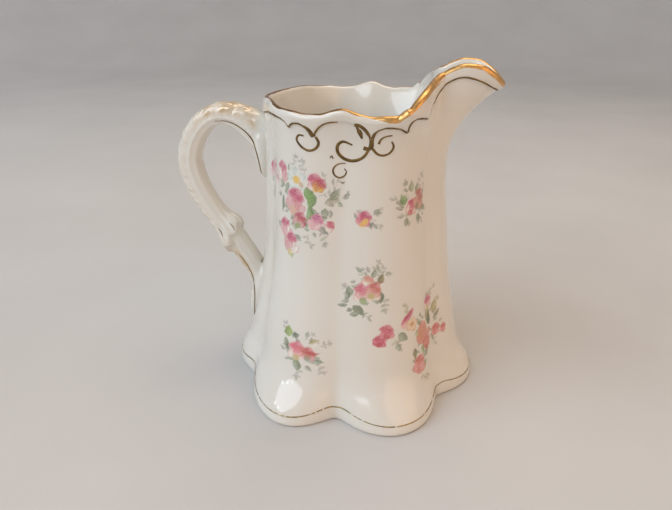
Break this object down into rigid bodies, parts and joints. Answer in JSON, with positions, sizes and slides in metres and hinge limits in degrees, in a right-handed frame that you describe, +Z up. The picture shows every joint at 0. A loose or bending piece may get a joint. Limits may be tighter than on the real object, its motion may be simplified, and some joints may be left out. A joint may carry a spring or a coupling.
{
  "type": "cream jug",
  "caption": "Fluted porcelain cream jug with scalloped rim and foot, high pouring lip, strap handle with leaf roots, gilding and flower transfers.",
  "frame": {"origin": "on the jug's axis, in the plane of the foot", "axes": "+Z up, +X towards the spout, -X towards the handle"},
  "size_m": [0.1262, 0.1046, 0.1286],
  "materials": {
    "porcelain": "clear gloss glaze over a warm white body",
    "gilding": "thin fired gold, worn at the edges",
    "transfer": "printed flowers in pink, yellow and soft green under the glaze"
  },
  "bodies": {
    "root": {"body": "porcelain", "handle": "porcelain", "rim_gilding": "gilding", "shoulder_gilding": "gilding", "foot_gilding": "gilding", "transfer_bouquet": "transfer", "transfer_bud": "transfer", "transfer_spout_spray": "transfer", "transfer_centre_spray": "transfer", "transfer_foot_spray": "transfer", "transfer_lobe_spray": "transfer"}
  },
  "joints": []
}
